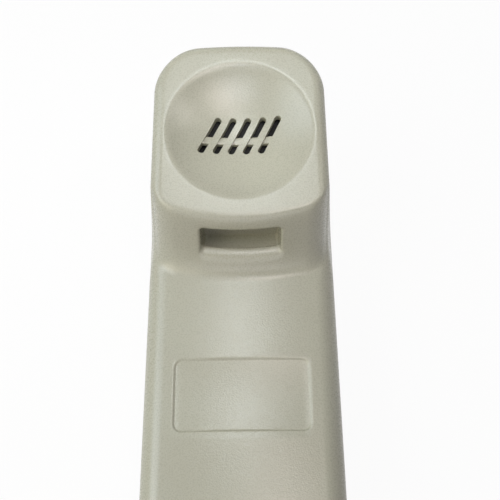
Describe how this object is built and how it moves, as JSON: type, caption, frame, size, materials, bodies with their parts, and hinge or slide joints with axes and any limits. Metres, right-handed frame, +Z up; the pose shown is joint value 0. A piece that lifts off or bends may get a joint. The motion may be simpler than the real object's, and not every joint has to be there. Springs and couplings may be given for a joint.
{
  "type": "telephone handset",
  "caption": "Corded telephone handset with dished ear and mouth blocks, slanted sound slots, a hook pocket in the ear step and a jack for a coiled cord.",
  "frame": {"origin": "on the table under the middle of the handset, which lies on its back", "axes": "+Y along the grip towards the ear end, +X across it, +Z up, the way the ear and mouth dishes face"},
  "size_m": [0.0518, 0.215, 0.046],
  "materials": {
    "casing": "satin",
    "dark_cloth": "matte",
    "foam": "matte",
    "grey_plastic": "satin",
    "film": "gloss",
    "copper_wire": "satin",
    "steel": "satin",
    "ferrite": "matte",
    "board": "satin",
    "rubber": "matte",
    "can": "satin",
    "jack_plastic": "satin",
    "gilt": "polished",
    "red_lead": "satin",
    "green_lead": "satin",
    "black_lead": "satin",
    "yellow_lead": "satin"
  },
  "bodies": {
    "root": {"front_shell": "casing", "rear_shell": "casing", "receiver_cloth": "dark_cloth", "receiver_gasket": "foam", "receiver_frame": "grey_plastic", "receiver_diaphragm": "film", "voice_coil": "copper_wire", "pole_plate": "steel", "receiver_magnet": "ferrite", "receiver_yoke": "steel", "receiver_terminals": "board", "receiver_pad": "foam", "microphone_cloth": "dark_cloth", "microphone_boot": "rubber", "microphone_capsule": "can", "microphone_board": "board", "microphone_pad": "foam", "jack_housing": "jack_plastic", "jack_contacts": "gilt", "ballast_plate": "steel", "ballast_screws": "steel", "casing_screws": "steel", "receiver_lead_red": "red_lead", "receiver_lead_green": "green_lead", "microphone_lead_black": "black_lead", "microphone_lead_yellow": "yellow_lead"}
  },
  "joints": []
}
